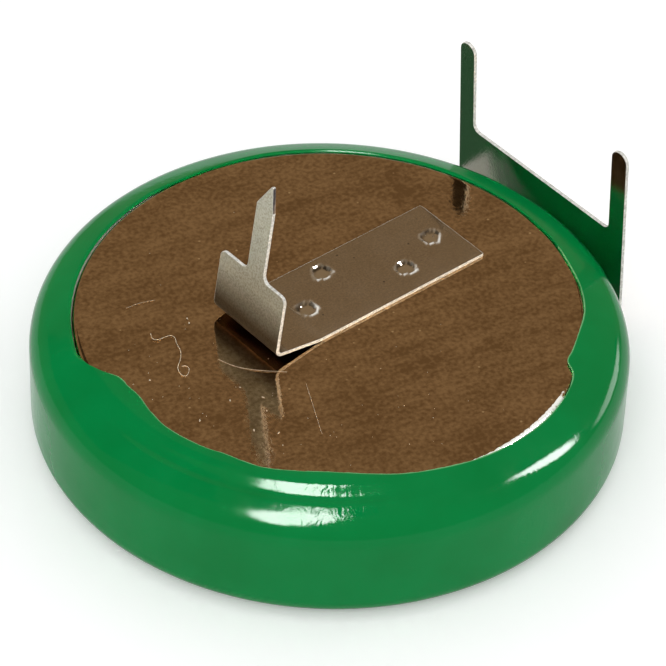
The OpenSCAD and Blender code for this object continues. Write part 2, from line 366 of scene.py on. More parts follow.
def rolled_skin(nodes, links, place, streaks, grains, specks):
    """The outputs of the rolled metal group, with its three scales per metre."""
    skin = nodes.new("ShaderNodeGroup")
    skin.node_tree = ROLLED_METAL
    skin.inputs["Streaks per m"].default_value = streaks
    skin.inputs["Grain per m"].default_value = grains
    skin.inputs["Specks per m"].default_value = specks
    links.new(place, skin.inputs["Vector"])
    return skin.outputs


def painted(nodes, name):
    """How far the piece's own attribute marks a place."""
    made = nodes.new("ShaderNodeAttribute")
    made.attribute_name = name
    return made.outputs["Fac"]


def mixed(nodes, links, share, under, over, way="MIX"):
    """The colour under, with the colour over it as far as share says."""
    made = nodes.new("ShaderNodeMix")
    made.data_type = "RGBA"
    made.blend_type = way
    feed(links, made.inputs["Factor"], share)
    feed(links, made.inputs["A"], under)
    feed(links, made.inputs["B"], over)
    return made.outputs["Result"]


def edit(thing):
    """Only this piece is selected, in edit mode, with nothing in it selected."""
    bpy.ops.object.select_all(action="DESELECT")
    bpy.context.view_layer.objects.active = thing
    thing.select_set(True)
    bpy.ops.object.mode_set(mode="EDIT")
    bpy.ops.mesh.select_all(action="DESELECT")


def pick(thing, wanted, kind="VERT"):
    """Selects the vertices or faces whose middle passes the test."""
    bpy.ops.mesh.select_mode(type=kind)
    bpy.ops.mesh.select_all(action="DESELECT")
    mesh = bmesh.from_edit_mesh(thing.data)
    if kind == "VERT":
        for v in mesh.verts:
            v.select = wanted(v.co)
    else:
        for f in mesh.faces:
            f.select = wanted(f.calc_center_median())
    mesh.select_flush_mode()
    bmesh.update_edit_mesh(thing.data)


def add_wall(thing, thickness):
    """Thickens the piece inwards from its outer face."""
    wall = thing.modifiers.new("wall", "SOLIDIFY")
    wall.thickness = thickness
    wall.offset = -1
    wall.use_even_offset = True
    return wall


def apply_all(thing):
    """Applies the piece's modifiers, in order."""
    bpy.context.view_layer.objects.active = thing
    for made in list(thing.modifiers):
        bpy.ops.object.modifier_apply(modifier=made.name)


def lathe(name, profile, steps):
    """Spins an open profile of (radius, height) points round the cell's axis."""
    bpy.ops.object.select_all(action="DESELECT")
    bpy.ops.mesh.primitive_plane_add(size=1 * mm, location=(0, 0, 0))
    thing = bpy.context.object
    thing.name = name
    thing.data.name = name
    edit(thing)
    bpy.ops.mesh.select_all(action="SELECT")
    bpy.ops.mesh.merge(type="CENTER")
    bpy.ops.transform.translate(value=(profile[0][0], 0, profile[0][1]))
    for (r0, z0), (r1, z1) in zip(profile, profile[1:]):
        bpy.ops.mesh.extrude_region_move(TRANSFORM_OT_translate={"value": (r1 - r0, 0, z1 - z0)})
    bpy.ops.mesh.select_all(action="SELECT")
    bpy.ops.mesh.spin(steps=steps, angle=2 * math.pi, center=(0, 0, 0), axis=(0, 0, 1))
    bpy.ops.mesh.select_all(action="SELECT")
    bpy.ops.mesh.remove_doubles(threshold=0.002 * mm)
    bpy.ops.mesh.normals_make_consistent(inside=False)
    bpy.ops.object.mode_set(mode="OBJECT")
    return thing


def arc(r, z, radius, first, last, steps):
    """Points (radius, height) along part of a circle about (r, z), angles in degrees."""
    turn = [math.radians(first + (last - first) * i / steps) for i in range(steps + 1)]
    return [(r + radius * math.cos(a), z + radius * math.sin(a)) for a in turn]


cap_profile = [(r * mm, CAP_H) for r in CAP_RINGS]
cap_profile += arc(CAP_R - CAP_EDGE_R, CAP_H - CAP_EDGE_R, CAP_EDGE_R, 90, 0, 10)
cap_profile += [(CAP_R, CAP_STEP_Z + CAP_STEP_R), (CAP_R + CAP_STEP_R, CAP_STEP_Z)]
cap_profile += arc(
    CAP_SKIRT_R - CAP_SKIRT_ROUND, CAP_STEP_Z - CAP_SKIRT_ROUND, CAP_SKIRT_ROUND, 90, 0, 6)
cap_profile += [(CAP_SKIRT_R, CAP_FOOT_Z)]
cap = lathe("cap", cap_profile, CAP_STEPS)
edit(cap)
pick(cap, lambda p: math.hypot(p.x, p.y) < 2 * CAP_RINGS[0] * mm)
bpy.ops.mesh.edge_face_add()
bpy.ops.object.mode_set(mode="OBJECT")
add_wall(cap, CAP_T)
apply_all(cap)
bpy.ops.object.shade_smooth_by_angle(angle=math.radians(35))

# A painted highlight along the cap's bare rounded edge at the front, uneven in chips.
rng = random.Random(11)
chips = [rng.random() for _ in range(HIGHLIGHT_CHIPS)]
edge_highlight = cap.data.attributes.new("edge_highlight", "FLOAT", "POINT")
for i, vertex in enumerate(cap.data.vertices):
    p = vertex.co
    radius, angle = math.hypot(p.x, p.y), math.degrees(math.atan2(p.y, p.x)) % 360
    if HIGHLIGHT_FROM < angle < HIGHLIGHT_TO and radius > HIGHLIGHT_R and p.z > CAP_H - HIGHLIGHT_DOWN:
        ends = min((angle - HIGHLIGHT_FROM) / HIGHLIGHT_FADE_IN, (HIGHLIGHT_TO - angle) / HIGHLIGHT_FADE_OUT, 1)
        edge_highlight.data[i].value = ends * (0.75 + 0.25 * chips[int(angle * 2) % HIGHLIGHT_CHIPS])

cap_metal, n, l = shader("cap_metal")
face = n["Principled BSDF"]
place = n.new("ShaderNodeTexCoord").outputs["Object"]
turned = n.new("ShaderNodeMapping")
turned.inputs["Rotation"].default_value = (0, 0, CAP_ROLLED_AT)
l.new(place, turned.inputs["Vector"])
skin = rolled_skin(n, l, turned.outputs[0], 1400, 5200, 1700)
streaky = reckoned(n, l, "ADD", spread(n, l, skin["Streak"], -0.14, 0.14), skin["Blotch"])
tone = reckoned(n, l, "ADD", streaky, spread(n, l, skin["Grain"], -0.3, 0.3))
split = n.new("ShaderNodeSeparateXYZ")
l.new(turned.outputs[0], split.inputs[0])
off_row = reckoned(n, l, "ABSOLUTE", reckoned(n, l, "ADD", split.outputs["Y"], MOTTLE_ROW))
in_row = spread(n, l, off_row, 0.34, 0.05, 0.05 * mm, MOTTLE_ROW_HALF)
off_patch = n.new("ShaderNodeVectorMath")
off_patch.operation = "DISTANCE"
off_patch.inputs[1].default_value = MOTTLE_PATCH
l.new(place, off_patch.inputs[0])
in_patch = spread(n, l, off_patch.outputs["Value"], 0.36, 0.05, 0.5 * mm, MOTTLE_PATCH_R)
spots = n.new("ShaderNodeTexVoronoi")
spots.inputs["Scale"].default_value = MOTTLES_PER_M
l.new(place, spots.inputs["Vector"])
spotted = spread(n, l, spots.outputs["Distance"], 1, 0, 0.15, 0.55)
mottle = reckoned(n, l, "MULTIPLY", reckoned(n, l, "MAXIMUM", in_row, in_patch), spotted)
mottled = reckoned(n, l, "SUBTRACT", tone, mottle)
dusty = mixed(n, l, skin["Speck"], ramp(n, l, mottled, 0.22, 0.78, CAP_DARK, CAP_LIGHT), CAP_DUST)
# The painted highlight, broken up by the grain, turns the edge near-white and not metallic.
ragged_highlight = reckoned(n, l, "SUBTRACT", painted(n, "edge_highlight"), spread(n, l, skin["Grain"], 0, 0.7))
edge_lit = spread(n, l, ragged_highlight, 0, 1, 0.05, 0.35)
l.new(mixed(n, l, edge_lit, dusty, CAP_EDGE_HIGHLIGHT), face.inputs["Base Color"])
l.new(spread(n, l, skin["Blotch"], 0.03, 0.09), face.inputs["Roughness"])
l.new(spread(n, l, edge_lit, 1, 0, 0, 1), face.inputs["Metallic"])
grained = raised(n, l, skin["Grain"], 0.0035 * mm)
l.new(raised(n, l, skin["Streak"], 0.0008 * mm, grained), face.inputs["Normal"])
cap.data.materials.append(cap_metal)
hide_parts("negative_cap")
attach(cap, "root")


# The sleeve: a length of glossy green tube shrunk over the cell. It rounds the crimped
# shoulder, is drawn tight over the rim to the cap's edge, and is pressed down there where its
# roughly cut opening ends it.
FILM_R = 12.4 * mm
FILM_T = 0.1 * mm
FILM_LAP_R = 9.65 * mm
FILM_LAP_Z = -0.3 * mm
FILM_FOOT_R = 0.85 * mm
SHOULDER_R = 1.35 * mm
SHOULDER_TOP = 4.7 * mm
SHOULDER_END = math.radians(64)
LAP_RING = 0.25 * mm
# The trim is the film from the shoulder's end to the cut. It is drawn straight but for a
# sag, TRIM_SAG times its length squared, and bends into the flat flap over FLAP_BEND.
FLAP_Z = 5.14 * mm
TRIM_FROM = FILM_R - SHOULDER_R * (1 - math.cos(SHOULDER_END))
TRIM_Z = SHOULDER_TOP - SHOULDER_R * (1 - math.sin(SHOULDER_END))
TRIM_TO = 9.4 * mm
TRIM_STEPS = 28
TRIM_SAG = 60
FLAP_BEND = 0.02 * mm
# A dip over the rim at the front left, its angles in degrees
DIP_FROM, DIP_TO, DIP_FADE = 165, 262, 30
DIP_R = 10.84 * mm
DIP_HALF = 0.44 * mm
DIP_MOST = 0.13 * mm
# Within PRESSED_W of the cut the film is pressed down to PRESSED_CLEAR over the cap. The cut
# keeps inside CUT_MOST_R, and lies over no more than CUT_MOST_OVER of the cap's rounding.
PRESSED_W = 0.14 * mm
PRESSED_CLEAR = 0.01 * mm
CUT_MOST_R = 10.66 * mm
CUT_MOST_OVER = 0.94
FILM_STEPS = 480
# The cut is rougher, and its painted highlight full, between these angles, in degrees.
ROUGH_FROM, ROUGH_TO = 165, 345
RAG_ROUGH, RAG_CLEAN = 0.018 * mm, 0.004 * mm
CUT_HIGHLIGHT_W = 0.08 * mm
CUT_HIGHLIGHT_DEEP = 0.04 * mm
CUT_HIGHLIGHT_ELSEWHERE = 0.3
PLEATS = 23
PLEAT_H = 0.12 * mm
FILM_DARK, FILM_LIGHT = (0.0005, 0.172, 0.036), (0.0008, 0.21, 0.049)
FILM_CUT_HIGHLIGHT = (0.26, 0.60, 0.29)
# Angle and radius, in degrees and millimetres, along the hand-cut edge of the opening
CUT_EDGE = [
    (0, 10.56), (24, 10.64), (45, 10.76), (62, 10.78), (68, 10.62), (87, 10.56), (100, 10.69),
    (140, 10.80), (151, 10.76), (160, 10.49), (164, 10.1), (167.5, 9.62), (172, 9.5), (176, 9.44),
    (183, 9.65), (189, 9.80), (200, 9.80), (205, 9.74), (214, 9.89), (222, 9.79), (230, 9.72),
    (238, 9.87), (246, 10.12), (256, 10.32), (267, 10.50), (280, 10.59), (287, 10.60),
    (295, 10.55), (300, 10.42), (303.5, 10.0), (307, 10.05), (313, 10.15), (322, 10.44),
    (331, 10.51), (340, 10.48), (348, 10.55), (356, 10.53),
]


def cut_radius(angle):
    """Radius of the opening at an angle in degrees, smooth between the points read."""
    points = [(a - 360, r) for a, r in CUT_EDGE[-2:]] + CUT_EDGE
    points += [(a + 360, r) for a, r in CUT_EDGE[:3]]
    for i in range(1, len(points) - 2):
        (a0, r0), (a1, r1), (a2, r2), (a3, r3) = points[i - 1:i + 3]
        if a1 <= angle < a2:
            t = (angle - a1) / (a2 - a1)
            m1 = (r2 - r0) / (a2 - a0) * (a2 - a1)
            m2 = (r3 - r1) / (a3 - a1) * (a2 - a1)
            h = 2 * t**3 - 3 * t**2 + 1
            read = (h * r1 + (t**3 - 2 * t**2 + t) * m1 + (1 - h) * r2 + (t**3 - t**2) * m2) * mm
            return min(read, CUT_MOST_R)
    return CUT_MOST_R


def smooth_step(value):
    value = max(0.0, min(1.0, value))
    return value * value * (3 - 2 * value)


def film_height(radius, angle):
    """Height of the film's outer face: drawn tight from the shoulder to the cap's edge, with
    a dip over the rim at the front left, flat where the film lies on the cap, and pressed
    down at the cut."""
    inward = TRIM_FROM - radius
    tight = TRIM_Z + inward / math.tan(SHOULDER_END) - inward**2 * TRIM_SAG
    away = max(-1.0, min(1.0, (radius - DIP_R) / DIP_HALF))
    dip = smooth_step((angle - DIP_FROM) / DIP_FADE) * smooth_step((DIP_TO - angle) / DIP_FADE)
    tight -= DIP_MOST * dip * (1 - away**2) ** 2
    height = -FLAP_BEND * math.log(math.exp(-tight / FLAP_BEND) + math.exp(-FLAP_Z / FLAP_BEND))
    cut = cut_radius(angle)
    over_edge = max(0.0, min(CUT_MOST_OVER, (cut - CAP_R) / CAP_EDGE_R + 1))
    cap_below = CAP_H - CAP_EDGE_R * (1 - math.sqrt(1 - over_edge**2))
    pressed = max(0.0, height - cap_below - FILM_T - PRESSED_CLEAR)
    return height - pressed * (1 - smooth_step((radius - cut) / PRESSED_W))


side_top = SHOULDER_TOP - SHOULDER_R
trim_rings = [TRIM_FROM + (TRIM_TO - TRIM_FROM) * i / TRIM_STEPS for i in range(1, TRIM_STEPS + 1)]
film_profile = [(FILM_LAP_R + LAP_RING * i, FILM_LAP_Z) for i in range(7)]
film_profile += arc(FILM_R - FILM_FOOT_R, FILM_LAP_Z + FILM_FOOT_R, FILM_FOOT_R, -90, 0, 10)
film_profile += [(FILM_R, FILM_FOOT_R + (side_top - FILM_FOOT_R) * i / 6) for i in range(1, 6)]
film_profile += arc(FILM_R - SHOULDER_R, side_top, SHOULDER_R, 0, math.degrees(SHOULDER_END), 14)
film_profile += [(r, TRIM_Z) for r in trim_rings]
film = lathe("film", film_profile, FILM_STEPS)
rng = random.Random(7)
rags = [rng.uniform(-1, 1) for _ in range(FILM_STEPS)]
for vertex in film.data.vertices:
    p = vertex.co
    radius, angle = math.hypot(p.x, p.y), math.degrees(math.atan2(p.y, p.x)) % 360
    if radius < TRIM_FROM - 0.001 * mm and p.z > 0:
        share = (TRIM_FROM - radius) / (TRIM_FROM - TRIM_TO)
        step = int(round(angle / 360 * FILM_STEPS)) % FILM_STEPS
        rag = 0.35 * rags[step] + 0.65 * rags[(step // 4) % FILM_STEPS]
        rough = RAG_ROUGH if ROUGH_FROM < angle < ROUGH_TO else RAG_CLEAN
        edge = cut_radius(angle) + rough * rag * share**6
        new = TRIM_FROM + (edge - TRIM_FROM) * share
        vertex.co = (p.x * new / radius, p.y * new / radius, film_height(new, angle))
    elif p.z < FILM_LAP_Z + 0.01 * mm:
        inward = (FILM_R - radius) / (FILM_R - FILM_LAP_R)
        pleat = abs(math.sin(math.radians(angle * PLEATS) + 0.6 * math.sin(math.radians(angle * 5))))
        vertex.co.z += PLEAT_H * inward * pleat
add_wall(film, FILM_T)
apply_all(film)
bpy.ops.object.shade_smooth_by_angle(angle=math.radians(50))
# A painted highlight lies along the cut edge on the film's top face: full where the cut is rougher,
# fainter elsewhere.
cut_highlight = film.data.attributes.new("cut_highlight", "FLOAT", "POINT")
for i, vertex in enumerate(film.data.vertices):
    p = vertex.co
    radius, angle = math.hypot(p.x, p.y), math.degrees(math.atan2(p.y, p.x)) % 360
    if p.z > film_height(radius, angle) - CUT_HIGHLIGHT_DEEP:
        near_cut = max(0.0, 1 - max(0.0, radius - cut_radius(angle)) / CUT_HIGHLIGHT_W)
        cut_highlight.data[i].value = near_cut * (1 if ROUGH_FROM < angle < ROUGH_TO else CUT_HIGHLIGHT_ELSEWHERE)

film_gloss, n, l = shader("film_gloss")
face = n["Principled BSDF"]
place = n.new("ShaderNodeTexCoord").outputs["Object"]
cloud = noise(n, l, place, 260, 3)
green = ramp(n, l, cloud, 0.3, 0.7, FILM_DARK, FILM_LIGHT)
# The pale green along the cut is that painted highlight.
cut_lit = spread(n, l, painted(n, "cut_highlight"), 0, 0.75, 0.35, 1)
l.new(mixed(n, l, cut_lit, green, FILM_CUT_HIGHLIGHT), face.inputs["Base Color"])
ripple = noise(n, l, place, 700, 2)
l.new(spread(n, l, ripple, 0.06, 0.13), face.inputs["Roughness"])
# Faint creases run down the side and across the trim, so they follow the angle round the axis.
split = n.new("ShaderNodeSeparateXYZ")
l.new(place, split.inputs[0])
around = n.new("ShaderNodeCombineXYZ")
l.new(reckoned(n, l, "ARCTAN2", split.outputs["Y"], split.outputs["X"]), around.inputs["X"])
l.new(cloud, around.inputs["Y"])
crease = noise(n, l, around.outputs[0], 46, 2)
creased = reckoned(n, l, "MULTIPLY", crease, spread(n, l, cloud, 0, 1, 0.45, 0.65))
wrinkled = raised(n, l, creased, 0.012 * mm)
l.new(raised(n, l, ripple, 0.012 * mm, wrinkled), face.inputs["Normal"])
face.inputs["Specular IOR Level"].default_value = 0.13
film.data.materials.append(film_gloss)
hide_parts("sleeve")
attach(film, "root")


# The negative tab: stamped from nickel-plated strip, welded to the cap at four spots, lifted
# and folded up into a plate with rounded shoulders and a pin that ends in a point.
TAB_T = 0.15 * mm
NEG_Y = 0.82 * mm
NEG_W = 4.05 * mm
NEG_END_X = 7.3 * mm
NEG_LIFT_X = -1.55 * mm
NEG_FOLD_X = -3.93 * mm
NEG_LIFT = 0.4 * mm
NEG_LIFT_R = 3 * mm
NEG_FOLD_R = 0.35 * mm
NEG_LEAN = math.radians(8)
NEG_PLATE_H = 2.87 * mm
NEG_PIN_H = 7.23 * mm
NEG_PIN_W = 1.0 * mm
NEG_PIN_OFF = -0.12 * mm
NEG_TIP_OFF = -0.25 * mm
NEG_TIP_L = 1.1 * mm
NEG_TIP_HALF = 0.06 * mm
NEG_COLOURS = (0.30, 0.25, 0.187), (0.395, 0.335, 0.255)
SHEAR_BEVEL = 0.018 * mm
PLATE_ROUND = 0.3 * mm
PIN_FILLET = 0.35 * mm
END_ROUND = 0.08 * mm
LINE_SPARE = 1 * mm
PIT_BROWN = (0.10, 0.08, 0.06)
# The standing plate shows the strip's other side: the finish changes at the fold, over the heights
# BACK_Z, and painted shade takes it from dark at the fold to pale over the heights SHADE_RAMP_Z.
BACK_Z = (5.42 * mm, 5.5 * mm)
SHADE_RAMP_Z = (5.3 * mm, 7.6 * mm)
PLATE_SHADED, PLATE_LIT = (0.09, 0.07, 0.045), (0.49, 0.485, 0.40)
BACK_DULLER = 0.22
# Places (x, y) of the spot welds, in millimetres
NEG_WELDS = [(-0.8, 0.6), (1.15, 2.0), (4.1, 0.1), (6.25, 1.0)]
WELD_R = 0.45 * mm
WELD_DEEP = 0.085 * mm
WELD_LIP = 0.035 * mm
WELD_STEP = 0.03 * mm
WELD_REACH = 22
WELD_GREY = (0.50, 0.46, 0.40)
# A weld's pale rim colour is a painted highlight, strongest on one side, over a faint polish all round;
# its dark wall colour is painted shade on the other side, over faint scorching all round.
WELD_SHADE = (0.06, 0.05, 0.04)
WELD_GLINT = (0.84, 0.83, 0.79)
WELD_MARKS = ("welded", "weld_glint", "weld_shade")


def path_through(corners, steps):
    """Points along straight runs between (x, z, radius) corners, with an arc at each inner one."""
    line = [Vector(corners[0][:2])]
    for before, at, after in zip(corners, corners[1:], corners[2:]):
        b, radius = Vector(at[:2]), at[2]
        u = (Vector(before[:2]) - b).normalized()
        v = (Vector(after[:2]) - b).normalized()
        half = u.angle(v) / 2
        middle = b + (u + v).normalized() * radius / math.sin(half)
        start, end = b + u * radius / math.tan(half) - middle, b + v * radius / math.tan(half) - middle
        turn = start.angle_signed(end)
        for i in range(steps + 1):
            a = -turn * i / steps
            line.append(middle + Vector((start.x * math.cos(a) - start.y * math.sin(a),
                                         start.x * math.sin(a) + start.y * math.cos(a))))
    line.append(Vector(corners[-1][:2]))
    return line


def lengths_of(line):
    """Distance of each point from the start, measured along the line."""
    run = [0.0]
    for a, b in zip(line, line[1:]):
        run.append(run[-1] + (b - a).length)
    return run


def at_length(line, run, s):
    """The point at a distance along the line."""
    for i in range(1, len(line)):
        if s <= run[i] or i == len(line) - 1:
            return line[i - 1].lerp(line[i], (s - run[i - 1]) / (run[i] - run[i - 1]))


def blank(name, blocks, rounds):
    """A flat stamped blank in the XY plane: rectangular blocks joined edge to edge, made one
    face, with its corners rounded where rounds gives ((x, y), radius)."""
    bpy.ops.object.select_all(action="DESELECT")
    parts = []
    for x0, x1, y0, y1 in blocks:
        bpy.ops.mesh.primitive_plane_add(size=1, location=((x0 + x1) / 2, (y0 + y1) / 2, 0))
        bpy.context.object.scale = (x1 - x0, y1 - y0, 1)
        bpy.ops.object.transform_apply(location=True, rotation=True, scale=True)
        parts.append(bpy.context.object)
    for part in parts:
        part.select_set(True)
    bpy.context.view_layer.objects.active = parts[0]
    bpy.ops.object.join()
    sheet = bpy.context.object
    sheet.name = name
    sheet.data.name = name
    edit(sheet)
    bpy.ops.mesh.select_all(action="SELECT")
    bpy.ops.mesh.remove_doubles(threshold=0.001 * mm)
    bpy.ops.mesh.dissolve_limited(angle_limit=math.radians(1))
    for (x, y), radius in rounds:
        pick(sheet, lambda p: (p - Vector((x, y, 0))).length < 0.01 * mm)
        bpy.ops.mesh.bevel(offset=radius, affect="VERTICES", segments=6, profile=0.5)
    bpy.ops.object.mode_set(mode="OBJECT")
    return sheet


def cut_across(sheet, along, places, test=None):
    """Cuts the blank by planes square to the axis along ("X" or "Y") at the given places."""
    edit(sheet)
    for at in places:
        if test is None:
            bpy.ops.mesh.select_all(action="SELECT")
        else:
            pick(sheet, test, "FACE")
        point = (at, 0, 0) if along == "X" else (0, at, 0)
        normal = (1, 0, 0) if along == "X" else (0, 1, 0)
        bpy.ops.mesh.bisect(plane_co=point, plane_no=normal)
    bpy.ops.object.mode_set(mode="OBJECT")


def nickel_strip(name, colours, rough, matt_back):
    """Rolled nickel-plated strip: fine grain, pits, rolling streaks, and welds with a painted highlight
    on one side of the rim and painted shade in the wall at the other. With matt_back its standing
    plate, the strip's other side, is duller, and painted shade makes it dark at the fold and paler
    upwards."""
    made, nodes, links = shader(name)
    face = nodes["Principled BSDF"]
    place = nodes.new("ShaderNodeTexCoord").outputs["Object"]
    skin = rolled_skin(nodes, links, place, 2600, 12000, 2100)
    colour = ramp(nodes, links, skin["Grain"], 0.3, 0.7, *colours)
    gloss = spread(nodes, links, skin["Blotch"], rough - 0.03, rough + 0.05)
    if matt_back:
        split = nodes.new("ShaderNodeSeparateXYZ")
        links.new(place, split.inputs[0])
        standing = spread(nodes, links, split.outputs["Z"], 0, 1, *BACK_Z)
        upward = spread(nodes, links, split.outputs["Z"], 0, 1, *SHADE_RAMP_Z)
        # Painted shade: the standing plate darkens towards the fold and is paler up to the pin.
        shaded_plate = ramp(nodes, links, upward, 0.3, 1, PLATE_SHADED, PLATE_LIT)
        freckles = ramp(nodes, links, skin["Grain"], 0.3, 0.62, (0.62, 0.60, 0.56), WHITE)
        freckled = mixed(nodes, links, 1, shaded_plate, freckles, "MULTIPLY")
        colour = mixed(nodes, links, standing, colour, freckled)
        gloss = reckoned(nodes, links, "MULTIPLY_ADD", standing, BACK_DULLER, gloss)
    welded, glint, shaded = (painted(nodes, mark) for mark in WELD_MARKS)
    colour = mixed(nodes, links, skin["Speck"], colour, PIT_BROWN)
    colour = mixed(nodes, links, welded, colour, WELD_GREY)
    colour = mixed(nodes, links, shaded, colour, WELD_SHADE)
    colour = mixed(nodes, links, glint, colour, WELD_GLINT)
    gloss = reckoned(nodes, links, "MULTIPLY", gloss, spread(nodes, links, welded, 1, 0.25, 0, 1))
    links.new(colour, face.inputs["Base Color"])
    links.new(spread(nodes, links, glint, 1, 0.05, 0, 0.8), face.inputs["Metallic"])
    links.new(gloss, face.inputs["Roughness"])
    links.new(raised(nodes, links, skin["Grain"], 0.003 * mm), face.inputs["Normal"])
    return made


# The sheared edges: bare cut steel, painted pale and not metallic as a highlight along them.
sheared_edge_and_highlight = plain_finish(
    "sheared_edge_and_highlight", (0.40, 0.39, 0.35), (0.84, 0.83, 0.78), 0.5, 0, 9000, 0.006 * mm)
sheared_edge_and_highlight.node_tree.nodes["Principled BSDF"].inputs["Specular IOR Level"].default_value = 0.06


def length_to(line, run, base_z, lean, height):
    """Distance along a strip to the point of its leaning end at a height over base_z."""
    return run[-2] + (height - (line[-2][1] - base_z)) / math.cos(lean)


def cut_weld_grid(sheet, places, flat_end, half_width):
    """Cuts a fine grid through the blank round each weld, for the dish that is pressed in it."""
    reach = [i * WELD_STEP for i in range(-WELD_REACH, WELD_REACH + 1)]
    x_cuts = sorted({round(x + d, 6) for x, _ in places for d in reach})
    y_steps = sorted({round((y + d) / WELD_STEP) for _, y in places for d in reach})
    y_cuts = [i * WELD_STEP for i in y_steps if abs(i * WELD_STEP) < half_width - 0.02 * mm]
    cut_across(sheet, "X", [x for x in x_cuts if x < flat_end], lambda p: p.x < flat_end)
    cut_across(sheet, "Y", y_cuts, lambda p: p.x < flat_end)


def fold_strip(sheet, line, run, middle_y, metal):
    """Folds the flat blank along the line and gives it its thickness and sheared edges."""
    for vertex in sheet.data.vertices:
        x, z = at_length(line, run, vertex.co.x)
        vertex.co = (x, vertex.co.y + middle_y, z)
    sheet.data.materials.append(metal)
    sheet.data.materials.append(sheared_edge_and_highlight)
    wall = add_wall(sheet, TAB_T)
    wall.material_offset_rim = 1
    sheared = sheet.modifiers.new("sheared", "BEVEL")
    sheared.width = SHEAR_BEVEL
    sheared.segments = 2
    sheared.limit_method = "ANGLE"
    sheared.angle_limit = math.radians(50)
    sheared.material = 1
    apply_all(sheet)


def bell(share, middle, width):
    return math.exp(-((share - middle) / width) ** 2)


def press_weld(thing, x, y, level, out):
    """A spot weld in a strip's face: a steep-walled dish, its floor swollen again, with a lip of
    squeezed metal round it. Its rim carries a painted highlight at one side and its wall painted shade
    at the other, the highlight over a faint polish all round and the shade over faint scorching all
    round. Its profile goes by shares of its uneven radius. out is 1 where the face looks up, else -1."""
    ripple = random.Random(int(x / mm * 100) + 5)
    lobes = [(k, ripple.uniform(0.02, 0.06), ripple.uniform(0, 6.3)) for k in (2, 3, 5, 7)]
    glint_at = math.radians(265 + ripple.uniform(-35, 35))
    welded, glint, shaded = (thing.data.attributes[mark].data for mark in WELD_MARKS)
    for i, v in enumerate(thing.data.vertices):
        d = math.hypot(v.co.x - x, v.co.y - y)
        if abs(v.co.z - level) < 0.004 * mm and d < 1.4 * WELD_R:
            a = math.atan2(v.co.y - y, v.co.x - x)
            share = d / (WELD_R * (1 + sum(size * math.sin(k * a + at) for k, size, at in lobes)))
            dish = -WELD_DEEP * (1 - smooth_step((share - 0.66) / 0.34))
            swell = 0.75 * WELD_DEEP * (1 - smooth_step(share / 0.72))
            v.co.z += out * (dish + swell + WELD_LIP * bell(share, 1.06, 0.10))
            # The painted highlight on the rim faces one side, the painted shade in the wall the other.
            toward = math.cos(a - glint_at)
            welded[i].value = 1 - smooth_step((share - 1.0) / 0.2)
            glint[i].value = min(1.0, bell(share, 0.98, 0.10) * max(0.25, 1.7 * toward))
            shaded[i].value = min(1.0, bell(share, 0.82, 0.16) * max(0.25, -1.4 * toward))


def finish_strip(thing, welds, level, out):
    """Presses the welds in and shades the strip's flat faces flat and its sheared edges round."""
    for mark in WELD_MARKS:
        thing.data.attributes.new(mark, "FLOAT", "POINT")
    for x, y in welds:
        press_weld(thing, x, y, level, out)
    bpy.ops.object.select_all(action="DESELECT")
    thing.select_set(True)
    bpy.context.view_layer.objects.active = thing
    bpy.ops.object.shade_smooth_by_angle(angle=math.radians(40))
    level_faces = thing.modifiers.new("level_faces", "WEIGHTED_NORMAL")
    level_faces.mode = "FACE_AREA"
    level_faces.weight = 80
    level_faces.keep_sharp = True
    apply_all(thing)


fold_z = CAP_H + NEG_LIFT
lean_top = NEG_PIN_H + LINE_SPARE
neg_line = path_through([
    (NEG_END_X, CAP_H, 0), (NEG_LIFT_X, CAP_H, NEG_LIFT_R), (NEG_FOLD_X, fold_z, NEG_FOLD_R),
    (NEG_FOLD_X + lean_top * math.tan(NEG_LEAN), fold_z + lean_top, 0)], 8)
neg_run = lengths_of(neg_line)
shoulder_s, taper_s, tip_s = (
    length_to(neg_line, neg_run, fold_z, NEG_LEAN, height)
    for height in (NEG_PLATE_H, NEG_PIN_H - NEG_TIP_L, NEG_PIN_H))
half = NEG_W / 2
pin_a, pin_b = NEG_PIN_OFF - NEG_PIN_W / 2, NEG_PIN_OFF + NEG_PIN_W / 2
tip_y = NEG_PIN_OFF + NEG_TIP_OFF
neg = blank("tab_negative", [
    (0, shoulder_s, -half, pin_a), (0, shoulder_s, pin_a, pin_b), (0, shoulder_s, pin_b, half),
    (shoulder_s, taper_s, pin_a, pin_b), (taper_s, tip_s, pin_a, pin_b)],
    [((shoulder_s, -half), PLATE_ROUND), ((shoulder_s, half), PLATE_ROUND),
     ((shoulder_s, pin_a), PIN_FILLET), ((shoulder_s, pin_b), PIN_FILLET),
     ((0, -half), END_ROUND), ((0, half), END_ROUND)])
cut_across(neg, "X", [taper_s])
edit(neg)
pick(neg, lambda p: abs(p.x - tip_s) < 0.01 * mm and p.y > NEG_PIN_OFF)
bpy.ops.transform.translate(value=(0, tip_y - pin_b + NEG_TIP_HALF, 0))
pick(neg, lambda p: abs(p.x - tip_s) < 0.01 * mm and p.y < tip_y)
bpy.ops.transform.translate(value=(0, tip_y - pin_a - NEG_TIP_HALF, 0))
bpy.ops.object.mode_set(mode="OBJECT")
cut_across(neg, "X", neg_run[1:-1])
neg_welds = [(x * mm, y * mm) for x, y in NEG_WELDS]
cut_weld_grid(neg, [(NEG_END_X - x, y - NEG_Y) for x, y in neg_welds], neg_run[1], half)
fold_strip(neg, neg_line, neg_run, NEG_Y, nickel_strip("tab_metal", NEG_COLOURS, 0.2, True))
finish_strip(neg, neg_welds, CAP_H + TAB_T, 1)

